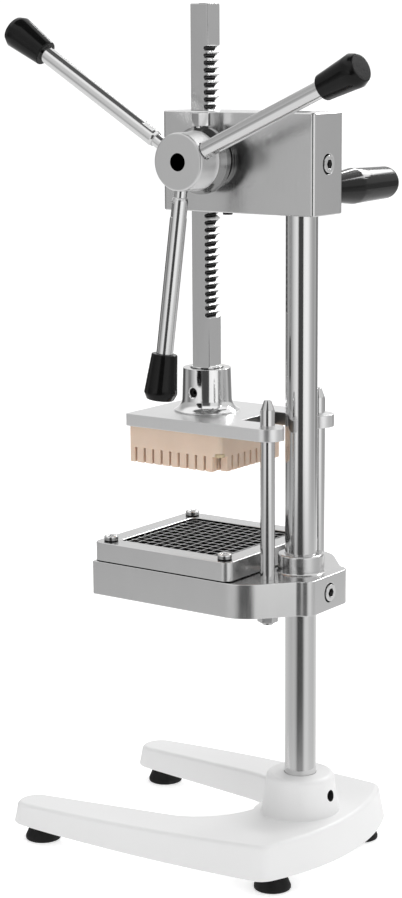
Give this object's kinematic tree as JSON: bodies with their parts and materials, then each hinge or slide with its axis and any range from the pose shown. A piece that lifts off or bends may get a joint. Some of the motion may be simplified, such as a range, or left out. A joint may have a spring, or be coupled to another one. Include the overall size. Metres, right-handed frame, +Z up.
{
  "type": "french fry cutter",
  "caption": "Bench-top press that cuts a potato into fries: a spoked handwheel drives a rack that pushes a slotted block through a square grid of crossed blades.",
  "frame": {"origin": "centre of the bounding box at rest, at the height of the worktop under the rubber feet", "axes": "+Z up along the column, -Y towards the open front of the base where the rack and blades are, +X towards the handwheel"},
  "size_m": [0.2802, 0.3928, 0.8086],
  "materials": {
    "white_enamel": "glossy enamel",
    "foot_rubber": "matt",
    "bright_steel": "ground and polished",
    "cast_metal": "machined and satin polished",
    "blade_steel": "ground",
    "zinc_steel": "zinc plated",
    "black_steel": "black oxide",
    "gear_steel": "machined and oiled",
    "black_plastic": "glossy",
    "cream_plastic": "moulded, satin"
  },
  "bodies": {
    "frame": {"base": "white_enamel", "feet": "foot_rubber", "foot_screws": "zinc_steel", "base_screw": "black_steel", "column": "bright_steel", "table": "cast_metal", "table_screw": "black_steel", "blade_frame": "cast_metal", "blades_across": "blade_steel", "blades_along": "blade_steel", "frame_screws": "zinc_steel", "guide_rods": "bright_steel", "rod_nuts": "zinc_steel", "head": "cast_metal", "head_screw": "black_steel", "bush": "bright_steel", "plug_screw": "black_steel", "grip_stud": "zinc_steel", "grip": "black_plastic"},
    "ram": {"rack": "bright_steel", "socket": "cast_metal", "socket_screw": "black_steel", "socket_bolts": "zinc_steel", "plate": "cast_metal", "pusher": "cream_plastic", "pusher_screws": "zinc_steel"},
    "handwheel": {"shaft": "bright_steel", "pinion": "gear_steel", "pinion_key": "gear_steel", "hub": "bright_steel", "arms": "bright_steel", "knobs": "black_plastic", "lock_bolt": "zinc_steel"}
  },
  "joints": [
    {"name": "ram_slide", "type": "slide", "parent": "frame", "child": "ram", "axis": [0, 0, 1], "range_m": [-0.088, 0.14]},
    {"name": "handwheel_turn", "type": "hinge", "parent": "frame", "child": "handwheel", "pos_m": [0.01485, -0.00262, 0.6675], "axis": [-1, 0, 0], "range_deg": [-301, 476]}
  ],
  "couplings": [
    {"joint": "handwheel_turn", "follows": "ram_slide", "rad_per_m": 58.612}
  ]
}
